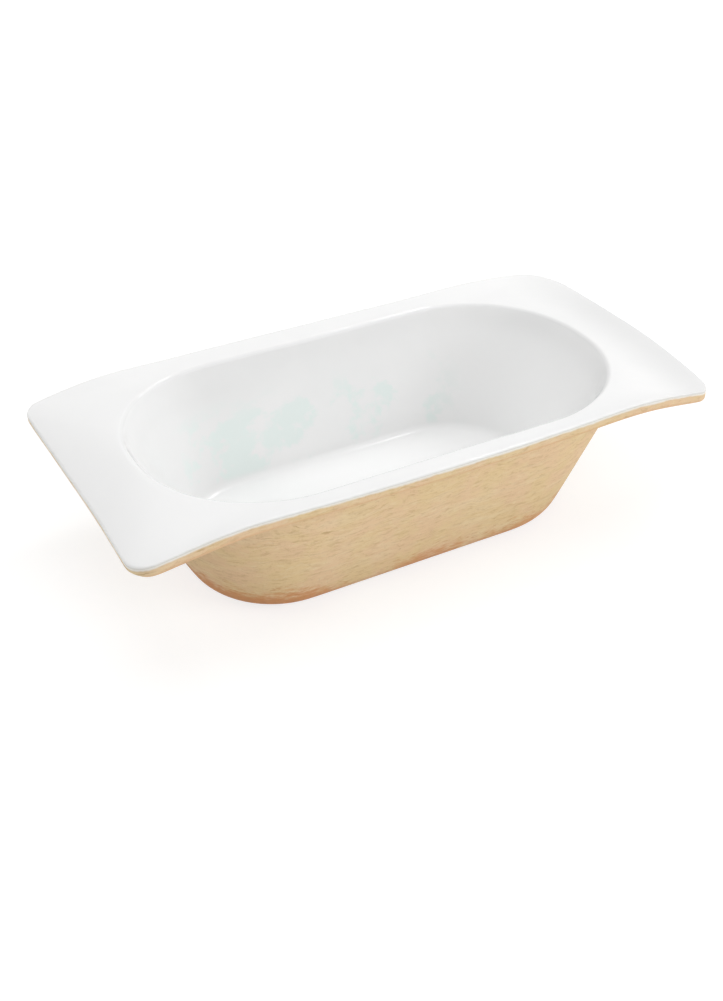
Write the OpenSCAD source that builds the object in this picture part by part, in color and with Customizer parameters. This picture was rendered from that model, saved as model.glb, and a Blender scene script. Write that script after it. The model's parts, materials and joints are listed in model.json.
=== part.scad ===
// Hand-formed stoneware dough bowl: a long well with rounded ends under a wide four-cornered rim.
// The origin is the middle of the bowl's outline, brought down to the flat base that it stands on.
// +X runs along the length to the right end, +Y runs across from the near to the far side, +Z is up.

/* [Well] */
// Length of the well at its lip
well_l = 404; // [300:2:560]
// Width of the well at its lip
well_w = 210; // [160:2:300]
// Radius of the rounded ends of the well at its lip
well_r = 100; // [60:1:150]
// Depth of the well from its lip to the edge of its floor
well_depth = 106; // [60:1:160]
// Radius of the corners of the floor
floor_r = 66; // [30:1:90]
// How far each end wall leans in from lip to floor
end_lean = 51; // [20:1:70]
// How far each side wall leans in from lip to floor
side_lean = 26; // [8:1:36]
// How far the round between wall and floor reaches along each of them
cove = 7; // [5:1:24]
// How far the middle of the floor lies below its edge
floor_dish = 1.5; // [0:0.5:3]
// How far the round at the lip reaches along flange and wall
lip_round = 4; // [3:0.5:8]

/* [Clay] */
// Thickness of the end walls under the rim
end_wall_t = 9.5; // [6:0.5:14]
// Thickness of the side walls under the rim
side_wall_t = 8.5; // [6:0.5:14]
// Thickness of the bottom under the floor's edge
floor_t = 10.6; // [6:0.2:16]
// How far the heel of the outside stands out beyond the floor inside
heel_out = 10.5; // [6:0.5:16]
// Radius of the outside's corners in plan, at the heel
heel_corner_r = 66; // [30:1:76]
// How much rounder than that the near right corner of heel and floor is
near_right_more_r = 10; // [0:1:12]
// How far the round of the heel reaches along wall and base
heel_round = 18; // [8:1:24]
// How far the round under the rim reaches along flange and wall
neck_round = 5; // [2:0.5:8]

/* [Rim] */
// How far the rim overhangs the side walls, measured at the corners
side_overhang = 5.2; // [4:0.2:20]
// How far the rim overhangs the end walls, measured at the corners
end_overhang = 39; // [20:1:60]
// Thickness of the flange, glaze included
flange_t = 10.2; // [6:0.2:14]
// How much thinner the flange is along the left end
left_thinning = 3.4; // [0:0.1:5]
// How far the soft lower edge of the rim is rounded
under_round = 2.4; // [1:0.2:3]
// How high the straight rim would stand above the lip
rim_rise = 5.8; // [0:0.5:10]

/* [Hand-formed shape] */
// Swell of each long side beyond the line through its corners
side_bow = 6.6; // [0:0.2:12]
// Swell of the right end beyond the line through its corners
right_bow = 6.2; // [0:0.2:12]
// Swell of the left end beyond the line through its corners, less than zero where it is hollow
left_bow = -1.5; // [-5:0.1:12]
// Droop of the flange at the right end
right_droop = 14; // [0:0.5:25]
// Droop of the flange at the left end
left_droop = 20.2; // [0:0.2:25]
// Sag of the near side between its corners
near_sag = 5.6; // [0:0.2:12]
// Sag of the far side between its corners
far_sag = 2.8; // [0:0.2:12]
// Radius of the far right corner
far_right_r = 30; // [10:1:50]
// Radius of the far left corner
far_left_r = 11; // [8:1:50]
// Radius of the near left corner
near_left_r = 21; // [8:1:50]
// Radius of the near right corner
near_right_r = 18; // [6:1:50]

/* [Glaze] */
// Thickness of the glaze coat in the well and on the flange
glaze_t = 0.8; // [0.4:0.1:1.4]
// Thickness to which the glaze thins out at the edge of the rim
glaze_edge_t = 0.3; // [0.2:0.1:0.6]
// How far down the edge of the rim the glaze reaches
glaze_drop = 2; // [1:0.2:3]

/* [Hidden] */

// How far a cutting block and what it cuts away run past the cut
overrun = 1;

// Place of the rim and of the well, and of floor, neck and heel against them
rim_at = [-1.7, 0];
well_at = [-5.2, -1];
floor_shift = [0.3, 3];
neck_shift = [2.5, 0];
heel_shift = [-4.7, 0.5];

// Outward push and lift of each rim corner: far right, far left, near left, near right
corner_push = [[-0.9, 0.1], [0, 3.6], [4.9, 3.1], [-1.4, -2.5]];
corner_lift = [2.7, 7, 3, -5.5];
corner_r = [far_right_r, far_left_r, near_left_r, near_right_r];

// The droop starts this far along the half length. These powers set how sharply the droop, the flange
// and the step back to full thickness at the near left corner set in.
droop_start_share = 0.55;
droop_power = 2.4;
flange_power = 1.4;
corner_power = 20;

// Steps along a quarter of the outline, around one rim corner, along a straight side, and round a bend
end_steps = 4;
corner_steps = 6;
turn_steps = 5;
side_steps = 4;
bend_steps = 4;
heel_steps = 5;

// Shares of the flat stretches of floor, flange and flange's underside at which rings lie
floor_shares = [0.35, 0.7];
flange_shares = [0.25, 0.5, 0.75];
under_shares = [0.33, 0.67];

floor_at = well_at + floor_shift;
heel_at = floor_at + heel_shift;
neck_at = well_at + neck_shift;
floor_z = floor_t;
lip_z = floor_z + well_depth;
rim_z = lip_z + rim_rise;
run_x = well_l / 2 - min(well_r, well_w / 2);
rim_x = well_l / 2 + end_wall_t + end_overhang;
rim_y = well_w / 2 + side_wall_t + side_overhang;
floor_run = well_l / 2 - end_lean - floor_r;
floor_middle = [floor_at.x, floor_at.y, floor_z - floor_dish];

// Quarter that a station lies in, counted as the corners are
function quarter(st) = st[1] > 0 ? (st[0] > 0 ? 0 : 1) : (st[0] > 0 ? 3 : 2);

// Angles of the stations of one quarter, from the end to the side, with the rim's corner held exactly
function quarter_angles(q) =
    let(x = rim_x - run_x, y = rim_y, r = corner_r[q],
        first = atan2(y - r, x), last = atan2(y, x - r))
    concat(
        [for (i = [0 : end_steps - 1]) first * i / end_steps],
        [for (i = [0 : corner_steps - 1]) first + (last - first) * i / corner_steps],
        [for (i = [0 : turn_steps]) last + (90 - last) * i / turn_steps]);

// Lists turned round or shortened by one
function backwards(list) = [for (i = [len(list) - 1 : -1 : 0]) list[i]];
function but_first(list) = [for (i = [1 : len(list) - 1]) list[i]];
function last_off(list) = [for (i = [0 : len(list) - 2]) list[i]];

// Stations lie all round the bowl. Each holds its side in X and in Y, its angle on the rim about the
// centre of the round end, its share of the straight side's half, and its evenly spaced angle on the
// lip, the floor, the neck and the heel.
function quarter_stations(sx, sy, q, back) =
    let(angles = quarter_angles(q), last = len(angles) - 1,
        all = [for (i = [0 : last]) [sx, sy, angles[i], 1, 90 * i / last]])
    back ? backwards(all) : all;
function side_stations(sx, sy) =
    [for (i = [1 : 2 * side_steps - 1])
        let(k = sx * (side_steps - i) / side_steps) [k < 0 ? -1 : 1, sy, 90, abs(k), 90]];

stations = concat(
    quarter_stations(1, 1, 0, false), side_stations(1, 1), quarter_stations(-1, 1, 1, true),
    but_first(quarter_stations(-1, -1, 2, false)), side_stations(-1, -1),
    last_off(quarter_stations(1, -1, 3, true)));

// Distance from a centre to a rounded corner's outline, along a ray turned by a from the X axis
function reach(a, x, y, r) =
    let(c = cos(a), s = sin(a), along = (x - r) * c + (y - r) * s)
    x * s <= (y - r) * c ? x / c
    : y * c <= (x - r) * s ? y / s
    : along + sqrt(along * along - (x - r) * (x - r) - (y - r) * (y - r) + r * r);

// Point of a long rounded outline at a station
function outline(st, half_l, half_w, corner, at, z) =
    let(r = min(corner, half_w, half_l), d = reach(st[4], r, half_w, r))
    [at.x + st[0] * (st[3] * (half_l - r) + d * cos(st[4])), at.y + st[1] * d * sin(st[4]), z];

// Extra corner radius of floor and heel at a station
function more_r(st) = quarter(st) == 3 ? near_right_more_r : 0;

// The drawn edges of the bowl, each moved away from the glaze's surface by off
function lip_at(st, off) =
    outline(st, well_l / 2 + off, well_w / 2 + off, well_r + off, well_at, lip_z - off);
function floor_edge(st, off) =
    outline(st, well_l / 2 - end_lean + off, well_w / 2 - side_lean + off,
            floor_r + more_r(st) + off, floor_at, floor_z - off);
function neck_edge(st) =
    outline(st, well_l / 2 + end_wall_t, well_w / 2 + side_wall_t, well_r + end_wall_t, neck_at, 0);
function heel_edge(st) =
    outline(st, well_l / 2 - end_lean + heel_out, well_w / 2 - side_lean + heel_out,
            heel_corner_r + more_r(st), heel_at, 0);

// Outer edge of the rim at a station, with its bows, pushed corners, droop and sag
function ramp(share) = pow(max(0, (share - droop_start_share) / (1 - droop_start_share)), droop_power);
function rim_edge(st) =
    let(q = quarter(st), x_room = rim_x - run_x, r = corner_r[q],
        d = reach(st[2], x_room, rim_y, r),
        x = st[3] * run_x + d * cos(st[2]), y = d * sin(st[2]),
        near_end = pow(max(0, x - run_x) / x_room, 2), near_side = pow(y / rim_y, 2),
        along = x / rim_x, corner = near_end * near_side,
        bow = st[0] > 0 ? right_bow : left_bow, droop = st[0] > 0 ? right_droop : left_droop,
        sag = st[1] > 0 ? far_sag : near_sag)
    [rim_at.x + st[0] * (x + bow * (1 - near_side) * near_end + corner_push[q].x * corner),
     rim_at.y + st[1] * (y + side_bow * (1 - along * along) + corner_push[q].y * corner),
     rim_z - droop * ramp(along) - sag * (1 - along * along) * near_side + corner_lift[q] * corner];

// Thickness of the flange at a station: the left end is thinner, but not at its near corner
function thickness_at(st) =
    let(x = rim_edge(st).x, y = rim_edge(st).y, end = pow(max(0, -x - run_x) / (rim_x - run_x), 2),
        near = y < 0 ? pow(y / rim_y, corner_power) : 0)
    flange_t - left_thinning * min(1, end) * max(0, 1 - near);

// Small steps with points: a way from p toward q, a curve bent round b, the plan of a point, a point lower
function toward(p, q, d) = p + (q - p) * d / norm(q - p);
function bend(a, b, c, t) = (1 - t) * (1 - t) * a + 2 * t * (1 - t) * b + t * t * c;
function bent(a, b, c, steps) = [for (i = [0 : steps]) bend(a, b, c, i / steps)];
function flat(p) = [p.x, p.y];
function down(p, d) = [p.x, p.y, p.z - d];

// Point of the flange's upper side, a share of the way from lip to rim
function flange_at(st, share, off) =
    let(from = lip_at(st, off), to = rim_edge(st), xy = flat(from) + (flat(to) - flat(from)) * share)
    [xy.x, xy.y, from.z + (to.z - off - from.z) * pow(share, flange_power)];
function flange_run(st, off) = norm(flat(rim_edge(st)) - flat(lip_at(st, off)));

// Point of the rim's edge face, set in from the outermost line and down from the top
function face_at(st, inset, drop) =
    down(flange_at(st, 1 - inset / flange_run(st, 0), 0), drop);

// Point on the middle line of the floor or of the base, facing a station
function spine(st, at, z) = [at.x + st[0] * st[3] * max(0, floor_run), at.y, z];

// Upper surface from the middle of the floor out to the edge of the rim, off below the glaze's surface
function upper(st, off, edge_off) =
    let(foot = floor_edge(st, off), middle = spine(st, floor_at, foot.z),
        flat_end = toward(foot, middle, cove), lip = lip_at(st, off), run = flange_run(st, off),
        low = lip_round / run, high = 1 - (off + glaze_drop) / run)
    concat(
        [for (s = floor_shares) down(middle + (flat_end - middle) * s, floor_dish * (1 - s * s))],
        bent(flat_end, foot, toward(foot, lip, cove), bend_steps),
        bent(toward(lip, foot, lip_round), lip, flange_at(st, low, off), bend_steps),
        [for (s = flange_shares) flange_at(st, low + (high - low) * s, off)],
        bent(flange_at(st, high, off), face_at(st, off, off), face_at(st, edge_off, glaze_drop),
             bend_steps));

// Point of the flange's underside, a share of the way from lip to rim
function under_at(st, share) = down(flange_at(st, share, 0), thickness_at(st));

// Outside from the edge of the rim, under the flange, down the wall and round the heel to the base
function outside(st) =
    let(run = flange_run(st, 0), t = thickness_at(st), heel = heel_edge(st), edge = neck_edge(st),
        neck_share = norm(flat(edge) - flat(lip_at(st, 0))) / run,
        neck = [edge.x, edge.y, under_at(st, neck_share).z],
        turn = min(neck_round, (1 - neck_share) * run / 2),
        low = 1 - (glaze_edge_t + under_round) / run, high = neck_share + turn / run)
    concat(
        bent(face_at(st, glaze_edge_t, t - under_round), face_at(st, glaze_edge_t, t),
             under_at(st, low), bend_steps),
        [for (s = under_shares) under_at(st, low + (high - low) * s)],
        bent(under_at(st, high), neck, toward(neck, heel, turn), bend_steps),
        bent(toward(heel, neck, heel_round), heel, toward(heel, spine(st, heel_at, 0), heel_round),
             heel_steps));

// Closed skin over one profile per station, closed at its ends by fans about two middle points.
// From the turned row on, the quads split along their other diagonal.
module skin(profiles, first, last, turned) {
    n = len(profiles);
    m = len(profiles[0]);
    function at(i, j) = 2 + (i % n) * m + j;
    bands = [for (i = [0 : n - 1], j = [0 : m - 2]) each
        j < turned
        ? [[at(i, j), at(i + 1, j), at(i + 1, j + 1)], [at(i, j), at(i + 1, j + 1), at(i, j + 1)]]
        : [[at(i, j), at(i + 1, j), at(i, j + 1)], [at(i + 1, j), at(i + 1, j + 1), at(i, j + 1)]]];
    fans = [for (i = [0 : n - 1]) each [[0, at(i + 1, 0), at(i, 0)], [1, at(i, m - 1), at(i + 1, m - 1)]]];
    polyhedron(concat([first, last], [for (p = profiles) each p]), concat(bands, fans));
}

// Fired clay shell with its flange, bare outside, its base ground flat
module clay_body() {
    profiles = [for (st = stations) concat(upper(st, glaze_t, glaze_edge_t), outside(st))];
    rows = len(profiles[0]);
    color("tan")
        difference() {
            skin([for (p = profiles) concat(p, [down(p[rows - 1], overrun)])],
                 down(floor_middle, glaze_t), [heel_at.x, heel_at.y, -overrun], rows);
            translate([-rim_x, -rim_y, -2 * overrun])
                cube([2 * rim_x, 2 * rim_y, 2 * overrun]);
        }
}

// White glaze fused over the well and the top of the flange
module glaze_coat() {
    top = [for (st = stations) upper(st, 0, 0)];
    under = [for (st = stations) backwards(upper(st, glaze_t, glaze_edge_t))];
    color("white")
        skin([for (i = [0 : len(stations) - 1]) concat(top[i], under[i])],
             floor_middle, down(floor_middle, glaze_t), len(top[0]));
}

clay_body();
glaze_coat();
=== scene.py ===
import json
from math import pi, radians

import bpy
import numpy as np
from mathutils import Matrix, Vector
from mathutils.kdtree import KDTree

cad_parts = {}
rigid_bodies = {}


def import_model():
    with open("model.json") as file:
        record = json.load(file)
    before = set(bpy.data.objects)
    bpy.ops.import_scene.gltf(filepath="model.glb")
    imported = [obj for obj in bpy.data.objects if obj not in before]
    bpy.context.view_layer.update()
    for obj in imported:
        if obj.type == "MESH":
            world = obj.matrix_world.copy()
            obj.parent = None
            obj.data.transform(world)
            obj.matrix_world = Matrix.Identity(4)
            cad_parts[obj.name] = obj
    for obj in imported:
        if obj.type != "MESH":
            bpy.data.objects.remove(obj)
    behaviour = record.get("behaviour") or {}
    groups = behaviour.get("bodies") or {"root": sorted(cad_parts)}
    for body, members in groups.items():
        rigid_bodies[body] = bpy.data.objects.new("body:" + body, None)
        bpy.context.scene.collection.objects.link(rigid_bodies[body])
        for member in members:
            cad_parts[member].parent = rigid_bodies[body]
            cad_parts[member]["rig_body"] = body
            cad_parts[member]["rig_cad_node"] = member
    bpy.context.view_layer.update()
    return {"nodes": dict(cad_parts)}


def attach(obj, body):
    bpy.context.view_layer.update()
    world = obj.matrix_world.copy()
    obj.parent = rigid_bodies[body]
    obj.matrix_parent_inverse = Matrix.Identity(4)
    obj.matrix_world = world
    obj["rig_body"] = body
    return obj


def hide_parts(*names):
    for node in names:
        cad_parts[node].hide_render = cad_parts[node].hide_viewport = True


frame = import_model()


# Camera: a normal lens a little above the bowl, looking down across its near left corner.
# Place, turn and lens were fitted to the outlines of the rim, the lip, the floor and the base.
camera_at = (-0.4955, -0.8625, 0.6824)
camera_turn = radians(-29.116)
camera_tilt = radians(90 - 34.044)
camera_roll = radians(-0.179)

camera_data = bpy.data.cameras.new("camera")
camera_data.sensor_fit = 'VERTICAL'
camera_data.sensor_height = 36
camera_data.lens = 51.78
camera = bpy.data.objects.new("camera", camera_data)
bpy.context.scene.collection.objects.link(camera)
camera.matrix_world = (Matrix.Translation(camera_at)
                       @ Matrix.Rotation(camera_turn, 4, 'Z')
                       @ Matrix.Rotation(camera_tilt, 4, 'X')
                       @ Matrix.Rotation(camera_roll, 4, 'Z'))
bpy.context.scene.camera = camera


# Clay body: one thick shell of buff stoneware with its flange, pressed over a mould and evened by
# hand, then brushed outside with a thin tan wash. Its base is ground flat after the firing.
join_within = 1e-6
seam_match = 1e-5
seam_lowest = 0.05
seam_samples = 40
skin_levels = 2
waves_full_above = 0.03
wave_size_and_height = {'Z': (0.07, 0.0014), 'Y': (0.08, 0.0012), 'X': (0.09, 0.0010)}


def joined_copy(cad_node, name):
    """Copy of a CAD node whose loose triangles are joined into one skin of four-sided faces."""
    bpy.ops.object.select_all(action='DESELECT')
    source = frame["nodes"][cad_node]
    source.select_set(True)
    bpy.context.view_layer.objects.active = source
    bpy.ops.object.duplicate()
    piece = bpy.context.view_layer.objects.active
    piece.parent = None
    del piece["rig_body"], piece["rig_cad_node"]
    piece.name = piece.data.name = name
    piece.data.materials.clear()
    bpy.ops.object.mode_set(mode='EDIT')
    bpy.ops.mesh.select_all(action='SELECT')
    bpy.ops.mesh.remove_doubles(threshold=join_within)
    bpy.ops.mesh.customdata_custom_splitnormals_clear()
    bpy.ops.mesh.tris_convert_to_quads(face_threshold=pi, shape_threshold=pi,
                                       topology_influence=1.5)
    bpy.ops.mesh.select_all(action='DESELECT')
    bpy.ops.object.mode_set(mode='OBJECT')
    return piece


def seam_of(coat, body):
    """Points along the line where the glaze ends on the clay at the edge of the rim."""
    clay_points = KDTree(len(body.data.vertices))
    for vertex in body.data.vertices:
        clay_points.insert(vertex.co, vertex.index)
    clay_points.balance()
    points = coat.data.vertices
    on_clay = [clay_points.find(vertex.co)[2] < seam_match for vertex in points]
    ends = [edge.vertices for edge in coat.data.edges]
    seam = {a if on_clay[a] else b for a, b in ends if on_clay[a] != on_clay[b]}
    seam = {number for number in seam if points[number].co.z > seam_lowest}
    return [points[a].co.lerp(points[b].co, share)
            for a, b in ends if a in seam and b in seam
            for share in np.linspace(0, 1, seam_samples)]


def uneven(piece):
    """Smooths the skin and gives it the slow waves of hand work, the same on every piece."""
    hold = piece.vertex_groups.new(name="free_of_base")
    for vertex in piece.data.vertices:
        hold.add([vertex.index], min(1, max(0, vertex.co.z / waves_full_above)), 'REPLACE')
    bpy.context.view_layer.objects.active = piece
    smooth = piece.modifiers.new("smooth", 'SUBSURF')
    smooth.levels = smooth.render_levels = skin_levels
    bpy.ops.object.modifier_apply(modifier=smooth.name)
    for axis, (size, height) in wave_size_and_height.items():
        clouds = bpy.data.textures.new("waves_" + axis, 'CLOUDS')
        clouds.noise_scale = size
        clouds.noise_basis = 'IMPROVED_PERLIN'
        clouds.noise_depth = 1
        wave = piece.modifiers.new("wave_" + axis, 'DISPLACE')
        wave.texture = clouds
        wave.texture_coords = 'LOCAL'
        wave.direction = axis
        wave.vertex_group = "free_of_base"
        wave.mid_level = 0.5
        wave.strength = height
        bpy.ops.object.modifier_apply(modifier=wave.name)
    piece.vertex_groups.clear()
    bpy.ops.object.shade_smooth()


def measured(piece, seam):
    """Writes into the mesh how far each point lies from the seam, and how much it faces upward."""
    line = KDTree(len(seam))
    for number, point in enumerate(seam):
        line.insert(point, number)
    line.balance()
    points = piece.data.vertices
    reach = piece.data.attributes.new("from_seam", 'FLOAT', 'POINT')
    reach.data.foreach_set("value", [line.find(vertex.co)[2] for vertex in points])
    upward = piece.data.attributes.new("upward", 'FLOAT', 'POINT')
    upward.data.foreach_set("value", [vertex.normal.z for vertex in points])


clay = joined_copy("clay_body", "clay_shell")
bare_glaze = joined_copy("glaze_coat", "glaze_skin")
seam = seam_of(bare_glaze, clay)
uneven(clay)
measured(clay, seam)


def node(tree, kind, inputs=(), **settings):
    """Adds a node, sets what is given, and links inputs that are given as sockets."""
    made = tree.nodes.new(kind)
    for name, value in settings.items():
        setattr(made, name, value)
    for name, value in dict(inputs).items():
        if isinstance(value, bpy.types.NodeSocket):
            tree.links.new(value, made.inputs[name])
        else:
            made.inputs[name].default_value = value
    return made


def worked(tree, operation, *values):
    """Values put together one after another by one kind of arithmetic."""
    result = values[0]
    for value in values[1:]:
        result = node(tree, 'ShaderNodeMath', {0: result, 1: value}, operation=operation).outputs[0]
    return result


def product(tree, *values):
    return worked(tree, 'MULTIPLY', *values)


def total(tree, *values):
    return worked(tree, 'ADD', *values)


def less(tree, value, taken):
    return worked(tree, 'SUBTRACT', value, taken)


def spread(tree, value, low, high, to_low=0.0, to_high=1.0):
    """Value spread softly from one range to another."""
    made = node(tree, 'ShaderNodeMapRange', {"Value": value, "From Min": low, "From Max": high,
                                             "To Min": to_low, "To Max": to_high},
                interpolation_type='SMOOTHSTEP')
    return made.outputs["Result"]


def blended(tree, share, first, second):
    """Two colours mixed by share. A Mix node keeps colours at inputs 6 and 7 and output 2."""
    made = node(tree, 'ShaderNodeMix', {0: share, 6: first, 7: second}, data_type='RGBA')
    return made.outputs[2]


def noise(tree, vector, scale, detail=4.0, roughness=0.5, distortion=0.0):
    made = node(tree, 'ShaderNodeTexNoise', {"Vector": vector, "Scale": scale, "Detail": detail,
                                             "Roughness": roughness, "Distortion": distortion})
    return made.outputs["Fac"]


def place(tree, vector, move=(0, 0, 0), scale=(1, 1, 1)):
    made = node(tree, 'ShaderNodeMapping', {"Vector": vector, "Location": move, "Scale": scale})
    return made.outputs["Vector"]


def finish(name):
    """New material, with its tree, coordinates, X Y and Z, distance from the seam, and shader."""
    material = bpy.data.materials.new(name)
    material.use_nodes = True
    tree = material.node_tree
    here = node(tree, 'ShaderNodeTexCoord').outputs["Object"]
    spot = node(tree, 'ShaderNodeSeparateXYZ', {"Vector": here}).outputs
    reach = node(tree, 'ShaderNodeAttribute', attribute_name="from_seam").outputs["Fac"]
    return material, tree, here, spot, reach, tree.nodes["Principled BSDF"]


# Slow cloudiness of fired surfaces, shared by clay and glaze: a tone that drifts over the bowl
# and a height that rolls gently.
hand_work = bpy.data.node_groups.new("hand_work", 'ShaderNodeTree')
hand_work.interface.new_socket("Vector", in_out='INPUT', socket_type='NodeSocketVector')
hand_work.interface.new_socket("Scale", in_out='INPUT', socket_type='NodeSocketFloat')
hand_work.interface.new_socket("Tone", in_out='OUTPUT', socket_type='NodeSocketFloat')
hand_work.interface.new_socket("Height", in_out='OUTPUT', socket_type='NodeSocketFloat')
given = node(hand_work, 'NodeGroupInput').outputs
slow = noise(hand_work, given["Vector"], given["Scale"], detail=3.0, roughness=0.55,
             distortion=0.4)
roll = noise(hand_work, place(hand_work, given["Vector"], move=(0.7, 0.2, 0.4)),
             product(hand_work, given["Scale"], 3.0), detail=2.0, roughness=0.4)
given_back = node(hand_work, 'NodeGroupOutput')
hand_work.links.new(spread(hand_work, slow, 0.32, 0.68), given_back.inputs["Tone"])
hand_work.links.new(roll, given_back.inputs["Height"])


def hand_worked(tree, vector, scale):
    made = node(tree, 'ShaderNodeGroup', node_tree=hand_work)
    tree.links.new(vector, made.inputs["Vector"])
    made.inputs["Scale"].default_value = scale
    return made.outputs["Tone"], made.outputs["Height"]


# Tan wash: its tones, then the heights and places, in metres, over which a mark fades in or out.
wash_yellow = (0.790, 0.605, 0.340, 1)
wash_pink = (0.805, 0.585, 0.365, 1)
wash_thin = (0.840, 0.695, 0.470, 1)
wash_thick = (0.540, 0.355, 0.175, 1)
blush = (0.640, 0.270, 0.105, 1)
ground = (0.720, 0.610, 0.470, 1)
splash = (0.870, 0.850, 0.800, 1)

marks_level_below = (0.100, 0.085)
marks_counted_from = 0.11
rim_marks_shift = 0.006
slow_wander = 0.012
quick_wander = 0.0035
dragged_x = (0.06, -0.12)
dragged_z = (0.045, 0.085)
drag_everywhere = 0.30
drag_more = 0.50
left_heel_x = (-0.05, -0.13)
right_heel_x = (0.03, 0.09)
right_corner_x = (0.150, 0.125)
blush_fade = (0.006, -0.008)
blush_strength = 0.68
left_blush_more = 0.12
blush_heights = (0.006, 0.019)
left_blush_rise = 0.014
right_blush_rise = 0.012
fleck_blush_rise = 0.030
# Painted shade: a faint reddish band at the foot of the rim's edge, where the flange shades the
# wall.
under_rim_shade_in = (0.0045, 0.0075)
under_rim_shade_out = (0.013, 0.009)
under_rim_shade_strength = 0.28
splash_edge = (0.0010, -0.0010)
splash_wander = -0.0030
ground_below = (0.0012, 0.0002)
ground_strength = 0.8

clay_finish, tree, here, spot, reach, surface = finish("tan_wash")
roll = hand_worked(tree, here, scale=9.0)[1]

# The brush follows the rim on the flange and runs level round the wall, and wanders a little.
on_wall = spread(tree, spot["Z"], *marks_level_below)
across = total(tree,
               product(tree, less(tree, marks_counted_from, spot["Z"]), on_wall),
               product(tree, less(tree, reach, rim_marks_shift), less(tree, 1.0, on_wall)),
               product(tree, noise(tree, here, scale=24.0, detail=2.0), slow_wander),
               product(tree, noise(tree, here, scale=120.0, detail=2.0), quick_wander))
strokes = node(tree, 'ShaderNodeCombineXYZ', {"X": spot["X"], "Y": spot["Y"],
                                              "Z": across}).outputs["Vector"]


def marks(start, per_metre, detail, roughness):
    """Noise drawn out along the brush strokes, with its grain per metre along and across them."""
    return noise(tree, place(tree, strokes, start, per_metre), 1.0, detail, roughness)


hairs = marks(start=(3, 1, 2), per_metre=(70, 70, 620), detail=5.0, roughness=0.7)
flecks = marks(start=(1, 8, 4), per_metre=(110, 110, 400), detail=4.0, roughness=0.65)
bands = marks(start=(0, 0, 0), per_metre=(18, 18, 120), detail=4.0, roughness=0.6)
drags = marks(start=(5, 7, 1), per_metre=(34, 34, 300), detail=4.0, roughness=0.65)
clouds = noise(tree, place(tree, here, move=(2, 5, 3)), scale=38.0, roughness=0.6)
grit = noise(tree, here, scale=650.0, detail=3.0, roughness=0.7)
drag_strength = total(tree, drag_everywhere,
                      product(tree, spread(tree, spot["X"], *dragged_x),
                              spread(tree, spot["Z"], *dragged_z), drag_more))

colour = blended(tree, spread(tree, clouds, 0.38, 0.62), wash_yellow, wash_pink)
for tone, pattern, starts, full, strength in ((wash_thin, bands, 0.45, 0.70, 0.45),
                                              (wash_thick, hairs, 0.45, 0.75, 0.40),
                                              (wash_thick, flecks, 0.54, 0.68, 0.42),
                                              (wash_thin, flecks, 0.46, 0.32, 0.45),
                                              (wash_thick, drags, 0.60, 0.72, drag_strength),
                                              (wash_thick, grit, 0.56, 0.72, 0.40)):
    laid_on = product(tree, spread(tree, pattern, starts, full), strength)
    colour = blended(tree, laid_on, colour, tone)

# The fire reddens the bare clay round the heel, highest at the left. Along the foot of the rim's
# edge, a faint band of the same red is painted shade.
left_heel = spread(tree, spot["X"], *left_heel_x)
right_heel = product(tree, spread(tree, spot["X"], *right_heel_x),
                     spread(tree, spot["X"], *right_corner_x))
tongues = noise(tree, place(tree, here, move=(1, 4, 2)), scale=16.0, detail=3.0, roughness=0.6)
rise = total(tree,
             product(tree, left_heel, left_blush_rise),
             product(tree, right_heel, right_blush_rise),
             spread(tree, tongues, 0.40, 0.66, *blush_heights),
             product(tree, less(tree, flecks, 0.5), fleck_blush_rise))
low = spread(tree, less(tree, spot["Z"], rise), *blush_fade)
low_strength = total(tree, blush_strength, product(tree, left_heel, left_blush_more))
colour = blended(tree, product(tree, low, low_strength), colour, blush)
# Painted shade under the rim, in the red of the blush.
under_rim_shade = product(tree, spread(tree, reach, *under_rim_shade_in), spread(tree, reach, *under_rim_shade_out))
colour = blended(tree, product(tree, under_rim_shade, under_rim_shade_strength), colour, blush)

# Glaze has splashed a little past its edge, and the base is ground bare.
specks = noise(tree, here, scale=70.0, roughness=0.6)
splashed = total(tree, reach, product(tree, specks, splash_wander))
colour = blended(tree, spread(tree, splashed, *splash_edge), colour, splash)
under = spread(tree, spot["Z"], *ground_below)
colour = blended(tree, product(tree, under, ground_strength), colour, ground)

height = total(tree, product(tree, hairs, 0.5), product(tree, grit, 0.25), product(tree, roll, 1.2))
rough = node(tree, 'ShaderNodeBump', {"Height": height, "Strength": 0.5, "Distance": 0.0007})
tree.links.new(colour, surface.inputs["Base Color"])
tree.links.new(spread(tree, bands, 0.2, 0.8, 0.62, 0.8), surface.inputs["Roughness"])
tree.links.new(rough.outputs["Normal"], surface.inputs["Normal"])
surface.inputs["IOR"].default_value = 1.45
clay.data.materials.append(clay_finish)
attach(clay, "root")
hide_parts("clay_body")


# Glaze coat: milk-white glaze poured over the inside and the top of the flange and fused in the
# kiln. It rolls over the edge of the rim, where it thins out and lets the clay show through.
glaze = bare_glaze
uneven(glaze)
measured(glaze, seam)

# Its tones, then the ranges over which each comes in, in metres. Those of the lip and of the wall
# next to it are shares of facing straight up, and those of a patch are levels of its noise.
milk = (0.888, 0.886, 0.882, 1)
milk_thin = (0.866, 0.866, 0.864, 1)
# Painted shade: the flange is darkened a little at its left and much more at its right.
left_flange_painted_shade = (0.884, 0.883, 0.880, 1)
right_flange_painted_shade = (0.750, 0.750, 0.748, 1)
# Painted light: a whiter tone laid on the floor and on the right wall.
painted_light_white = (0.928, 0.927, 0.924, 1)
# Painted shade: a greyer tone laid on the far left wall.
far_wall_painted_shade = (0.830, 0.830, 0.826, 1)
# Painted shade: a greyer tone laid on the lip, where the light makes a band.
lip_painted_shade = (0.800, 0.800, 0.798, 1)
celadon = (0.780, 0.862, 0.836, 1)
grey_edge = (0.750, 0.720, 0.660, 1)

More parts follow.
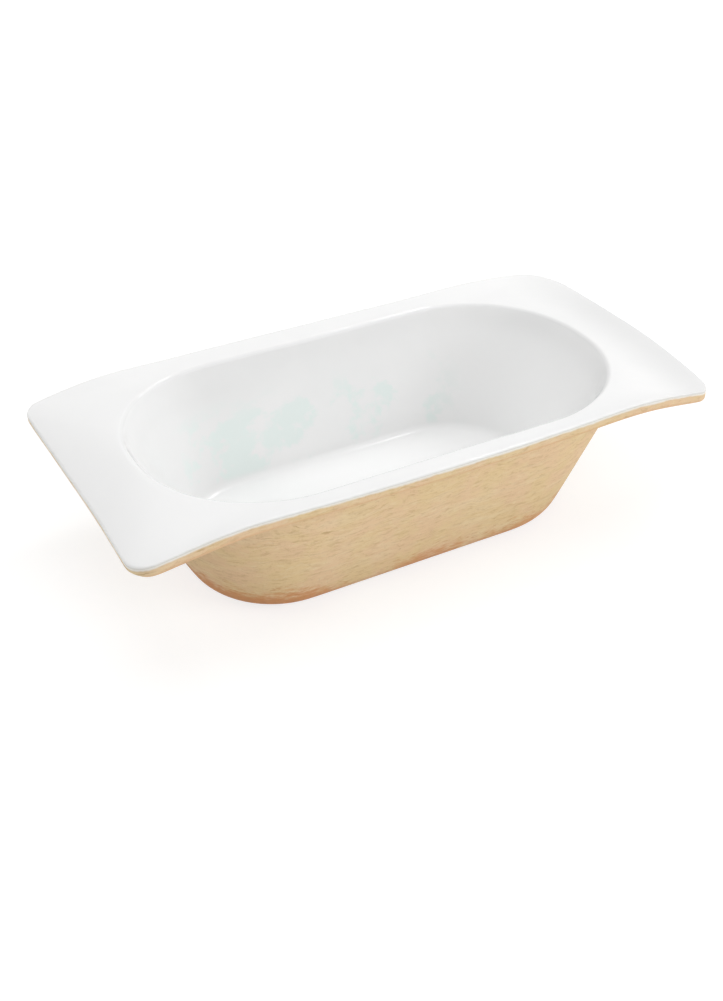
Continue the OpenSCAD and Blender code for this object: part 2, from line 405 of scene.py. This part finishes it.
flange_z = (0.090, 0.108)
right_flange_x = (0.190, 0.245)
right_flange_y = (0.110, 0.030)
right_flange_strength = (0.45, 1.0)
left_flange_x = (-0.120, -0.200)
floor_z = (0.0165, 0.0120)
floor_x = (-0.060, 0.080)
floor_strength = (0.35, 1.0)
right_wall_x = (0.080, 0.150)
far_left_x = (-0.020, -0.110)
far_wall_y = (0.0, 0.060)
wall_strength = 0.6
lip_turns_down = (0.985, 0.90)
wall_starts = (0.45, 0.62)
lip_short_of_ends = (0.226, 0.214)
lip_off_seam = (0.006, 0.010)
lip_strength = 0.55
pool_below_z = (0.088, 0.060)
pool_above_z = (0.012, 0.020)
pool_right_x = (0.140, 0.090)
pool_left_x = (-0.155, -0.125)
patch_edge = (0.49, 0.58)
celadon_strength = 0.80
edge_wander = -0.0016
edge_wide = (0.0020, 0.0002)
edge_narrow = (0.0006, -0.0006)

glaze_finish, tree, here, spot, reach, surface = finish("milk_white_glaze")
upward = node(tree, 'ShaderNodeAttribute', attribute_name="upward").outputs["Fac"]
tone, roll = hand_worked(tree, here, scale=11.0)

# The coat drifts a little greyer at random. On top of that, light and shade are painted: shade on
# the right of the flange and a little on its left, light on the floor and the right wall, and shade
# on the far left wall and on the lip.
on_flange = spread(tree, spot["Z"], *flange_z)
in_well = less(tree, 1.0, on_flange)
from_middle = node(tree, 'ShaderNodeMath', {0: spot["X"]}, operation='ABSOLUTE').outputs[0]
on_lip = product(tree, spread(tree, upward, *lip_turns_down), spread(tree, upward, *wall_starts),
                 spread(tree, from_middle, *lip_short_of_ends),
                 on_flange, spread(tree, reach, *lip_off_seam), lip_strength)
colour = blended(tree, tone, milk, milk_thin)
for share, glaze_tone in (
        (product(tree, spread(tree, spot["X"], *right_flange_x),
                 spread(tree, spot["Y"], *right_flange_y, *right_flange_strength), on_flange),
         right_flange_painted_shade),
        (product(tree, spread(tree, spot["X"], *left_flange_x), on_flange), left_flange_painted_shade),
        # Painted light on the floor and on the right wall.
        (product(tree, spread(tree, spot["Z"], *floor_z),
                 spread(tree, spot["X"], *floor_x, *floor_strength)), painted_light_white),
        (product(tree, spread(tree, spot["X"], *right_wall_x), in_well, wall_strength),
         painted_light_white),
        (product(tree, spread(tree, spot["X"], *far_left_x),
                 spread(tree, spot["Y"], *far_wall_y), in_well, wall_strength), far_wall_painted_shade),
        (on_lip, lip_painted_shade)):
    colour = blended(tree, share, colour, glaze_tone)

# Where it runs together on the walls it shows faint green patches.
cloudy = noise(tree, place(tree, here, move=(1.3, 5.1, 2.2)), scale=24.0, detail=6.0,
               roughness=0.62)
pooled = product(tree, spread(tree, cloudy, *patch_edge),
                 spread(tree, spot["Z"], *pool_below_z), spread(tree, spot["Z"], *pool_above_z),
                 spread(tree, spot["X"], *pool_right_x), spread(tree, spot["X"], *pool_left_x))
colour = blended(tree, product(tree, pooled, celadon_strength), colour, celadon)

# Its edge is ragged and lets a grey line of clay show.
nicks = noise(tree, here, scale=90.0, roughness=0.6)
ragged = total(tree, reach, product(tree, nicks, edge_wander))
for edge, strength in ((edge_wide, 0.15), (edge_narrow, 0.8)):
    colour = blended(tree, spread(tree, ragged, *edge, 0.0, strength), colour, grey_edge)

orange_peel = noise(tree, here, scale=160.0, detail=3.0)
height = total(tree, roll, product(tree, orange_peel, 0.08))
waves = node(tree, 'ShaderNodeBump', {"Height": height, "Strength": 0.4, "Distance": 0.0012})
tree.links.new(colour, surface.inputs["Base Color"])
tree.links.new(spread(tree, tone, 0.0, 1.0, 0.09, 0.14), surface.inputs["Roughness"])
tree.links.new(waves.outputs["Normal"], surface.inputs["Normal"])
surface.inputs["IOR"].default_value = 1.5
glaze.data.materials.append(glaze_finish)
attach(glaze, "root")
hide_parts("glaze_coat")


# Floor: a wide matt sheet of white paper, which takes the bowl's soft shadow and runs out of sight.
# The camera sees it greyer but with a glow of its own, which grows outwards until it is white.
sheet_width = 12
paper_white = (0.9, 0.9, 0.9, 1)
paper_seen = (0.34, 0.34, 0.34, 1)
paper_glow = (0.75, 1.0)
full_glow_beyond = (0.8, 2.4)


def seen_rays(tree):
    """1 for what the camera or a reflection sees, 0 for the light that reaches the bowl."""
    rays = node(tree, 'ShaderNodeLightPath').outputs
    return worked(tree, 'MAXIMUM', rays["Is Glossy Ray"], rays["Is Transmission Ray"],
                  rays["Is Camera Ray"])


bpy.ops.object.select_all(action='DESELECT')
bpy.ops.mesh.primitive_plane_add(size=sheet_width)
floor = bpy.context.view_layer.objects.active
floor.name = floor.data.name = "floor"
floor_finish = bpy.data.materials.new("white_paper")
floor_finish.use_nodes = True
tree = floor_finish.node_tree
paper = tree.nodes["Principled BSDF"]
paper.inputs["Roughness"].default_value = 1
paper.inputs["Specular IOR Level"].default_value = 0
paper.inputs["Emission Color"].default_value = (1, 1, 1, 1)
seen = seen_rays(tree)
here = node(tree, 'ShaderNodeTexCoord').outputs["Object"]
away = node(tree, 'ShaderNodeVectorMath', {0: here}, operation='LENGTH').outputs["Value"]
glow = product(tree, seen, spread(tree, away, *full_glow_beyond, *paper_glow))
tree.links.new(blended(tree, seen, paper_white, paper_seen), paper.inputs["Base Color"])
tree.links.new(glow, paper.inputs["Emission Strength"])
floor.data.materials.append(floor_finish)


# Light: a white room and wide soft boxes overhead and around, which leave no mark in the gloss.
# Only the tall narrow strip at the back right is mirrored: it draws the thin lines on the lip
# and in the cove.
aimed_at = Vector((0, 0, 0.08))
room_strength = 0.2


def soft_box(name, at, width, height, power, mirrored=False):
    light = bpy.data.lights.new(name, 'AREA')
    light.shape = 'ELLIPSE'
    light.size = width
    light.size_y = height
    light.energy = power
    lamp = bpy.data.objects.new(name, light)
    bpy.context.scene.collection.objects.link(lamp)
    lamp.location = at
    lamp.visible_glossy = mirrored
    lamp.rotation_euler = (aimed_at - lamp.location).to_track_quat('-Z', 'Y').to_euler()


soft_box("overhead_box", (0, 0.2, 2.8), width=2.4, height=2.4, power=29.5)
soft_box("front_left_box", (-1.2, -1.6, 1.3), width=1.4, height=1.4, power=8.5)
soft_box("front_right_box", (1.3, -1.6, 1.0), width=1.4, height=1.4, power=18)
soft_box("right_box", (1.9, -0.2, 1.3), width=1.4, height=1.4, power=4.5)
soft_box("left_box", (-1.6, 1.0, 1.3), width=1.4, height=1.4, power=10)
soft_box("back_right_strip", (1.37, 0.54, 1.87), width=0.07, height=1.2, power=11, mirrored=True)

room = bpy.data.worlds.new("room")
room.use_nodes = True
bpy.context.scene.world = room
tree = room.node_tree
sky = tree.nodes["Background"]
sky.inputs["Color"].default_value = (1, 1, 1, 1)
tree.links.new(spread(tree, seen_rays(tree), 0.0, 1.0, room_strength, 1.0),
               sky.inputs["Strength"])
bpy.context.scene.view_settings.view_transform = 'Standard'
